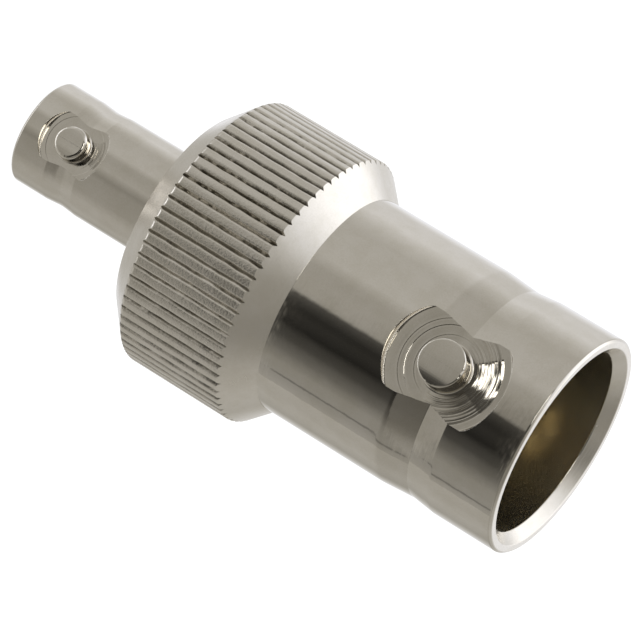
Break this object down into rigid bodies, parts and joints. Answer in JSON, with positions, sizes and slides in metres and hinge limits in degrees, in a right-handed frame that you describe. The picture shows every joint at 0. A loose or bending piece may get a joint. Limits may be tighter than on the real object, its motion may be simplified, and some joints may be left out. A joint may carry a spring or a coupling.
{
  "type": "coaxial adapter",
  "caption": "Straight turned adapter with a large bayonet jack on one end, a small bayonet jack on the other, and a knurled collar between them.",
  "frame": {"origin": "centre of the small jack's rim, on which the adapter stands", "axes": "+Z along the common axis of both jacks, out of the large jack's mouth; the bayonet studs lie on the Y axis"},
  "size_m": [0.012, 0.012, 0.0258],
  "materials": {
    "nickel_plate": "bright nickel plate over turned brass, satin on the knurl and chamfers",
    "ptfe": "white PTFE, machined",
    "gold_plate": "gold plate over beryllium copper"
  },
  "bodies": {
    "root": {"bnc_body": "nickel_plate", "hd_bnc_body": "nickel_plate", "bnc_insulator": "ptfe", "hd_bnc_insulator": "ptfe", "bnc_contact": "gold_plate", "hd_bnc_contact": "gold_plate"}
  },
  "joints": []
}
